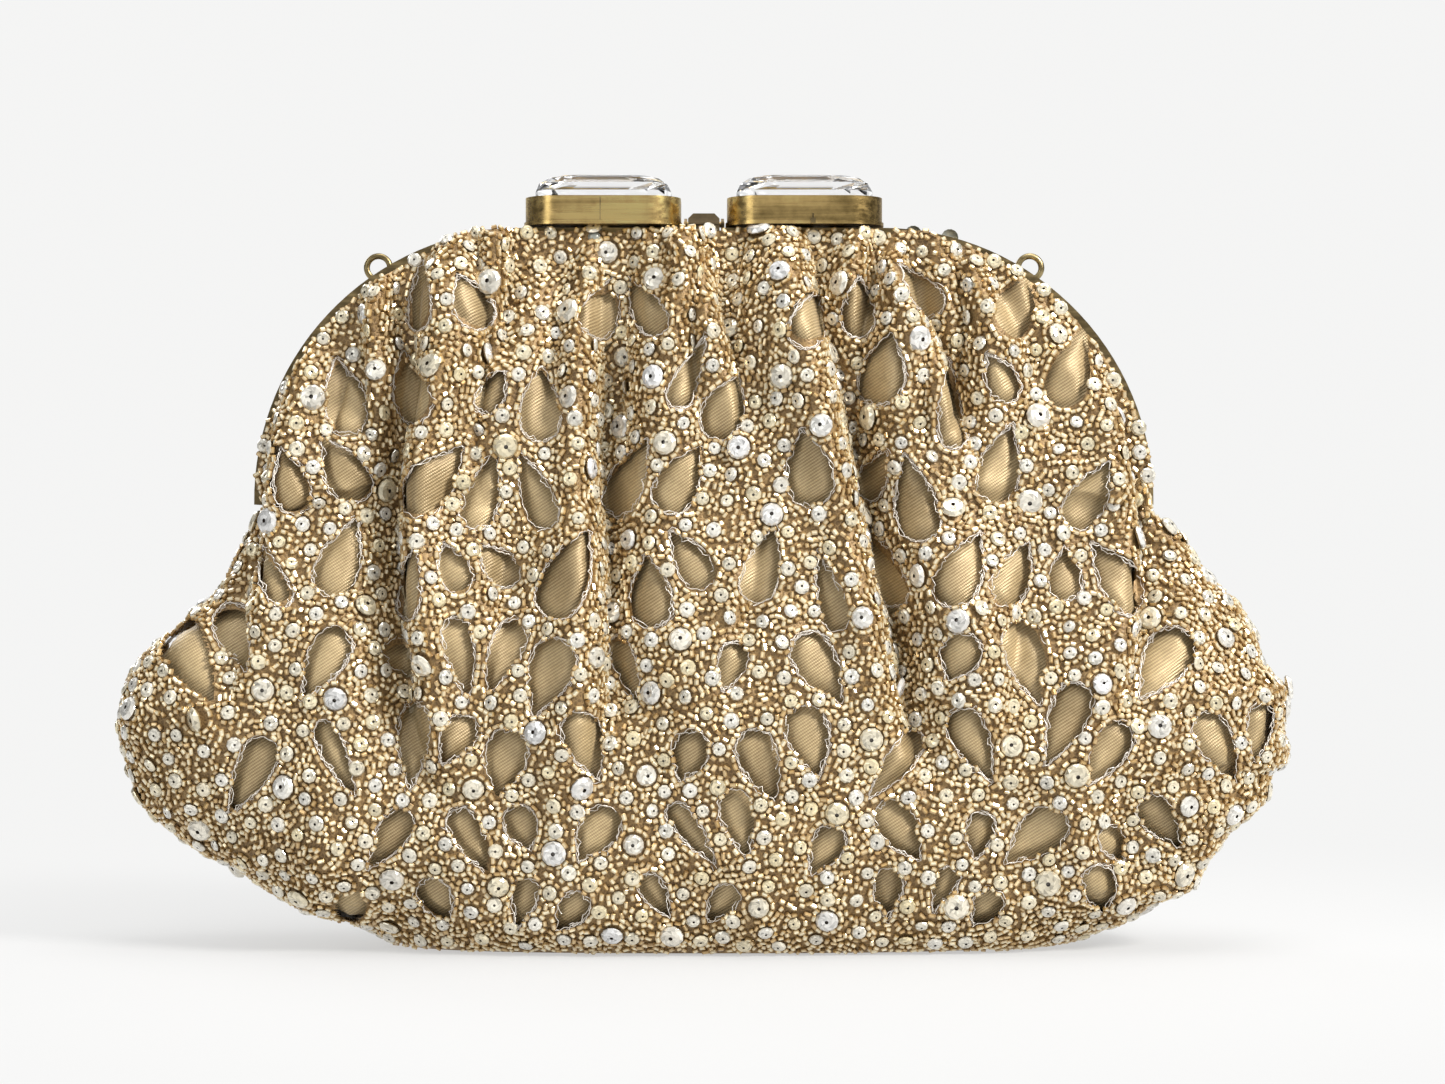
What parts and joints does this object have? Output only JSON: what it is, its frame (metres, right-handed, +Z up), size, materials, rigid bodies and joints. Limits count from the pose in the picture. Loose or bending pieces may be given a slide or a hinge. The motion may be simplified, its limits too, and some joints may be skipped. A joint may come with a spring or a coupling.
{
  "type": "evening bag",
  "caption": "Framed evening bag with beaded net cloth, hinged metal frame, two crystal knobs, lift latch and strap loops.",
  "frame": {"origin": "centre of the flat base the bag stands on", "axes": "+Z up, -Y towards the front face, +X along the bag's width to the right seen from the front"},
  "size_m": [0.2344, 0.0538, 0.1535],
  "materials": {
    "beaded_cloth": "champagne satin under a net sewn with gold seed beads and clear stones",
    "lining": "smooth satin",
    "board": "plain",
    "rivet_metal": "antique brass",
    "frame_metal": "dark antique brass",
    "bezel_metal": "antique brass with fine brushing",
    "catch_metal": "dark bronze",
    "crystal": "clear cut stone",
    "foil": "bright reflecting foil",
    "grip_cord": "twisted paper"
  },
  "bodies": {
    "pouch": {"pouch_lower": "beaded_cloth", "pouch_lining": "lining", "base_board": "board", "hinge_rivet_left": "rivet_metal", "hinge_rivet_right": "rivet_metal", "side_tab_left": "rivet_metal", "side_tab_right": "rivet_metal", "front_fold": "beaded_cloth", "rear_fold": "beaded_cloth"},
    "front_half": {"front_frame": "frame_metal", "front_panel": "beaded_cloth", "front_lining": "lining", "front_grip_cord": "grip_cord", "left_bezel": "bezel_metal", "left_crystal": "crystal", "left_foil": "foil", "left_stud": "rivet_metal", "catch_plate": "catch_metal"},
    "rear_half": {"rear_frame": "frame_metal", "rear_panel": "beaded_cloth", "rear_lining": "lining", "rear_grip_cord": "grip_cord", "right_bezel": "bezel_metal", "right_crystal": "crystal", "right_foil": "foil", "right_stud": "rivet_metal", "strap_loop_left": "bezel_metal", "strap_loop_right": "bezel_metal", "latch_bracket": "catch_metal", "latch_pin": "rivet_metal"},
    "latch": {"latch_lever": "bezel_metal"}
  },
  "joints": [
    {"name": "front_hinge", "type": "hinge", "parent": "pouch", "child": "front_half", "pos_m": [0, 0, 0.088], "axis": [1, 0, 0], "range_deg": [0, 30], "deforming": ["front_fold"]},
    {"name": "rear_hinge", "type": "hinge", "parent": "pouch", "child": "rear_half", "pos_m": [0, 0, 0.088], "axis": [-1, 0, 0], "range_deg": [0, 30], "deforming": ["rear_fold"]},
    {"name": "latch_pivot", "type": "hinge", "parent": "rear_half", "child": "latch", "pos_m": [0, 0.0045, 0.1445], "axis": [-1, 0, 0], "range_deg": [0, 35]}
  ]
}
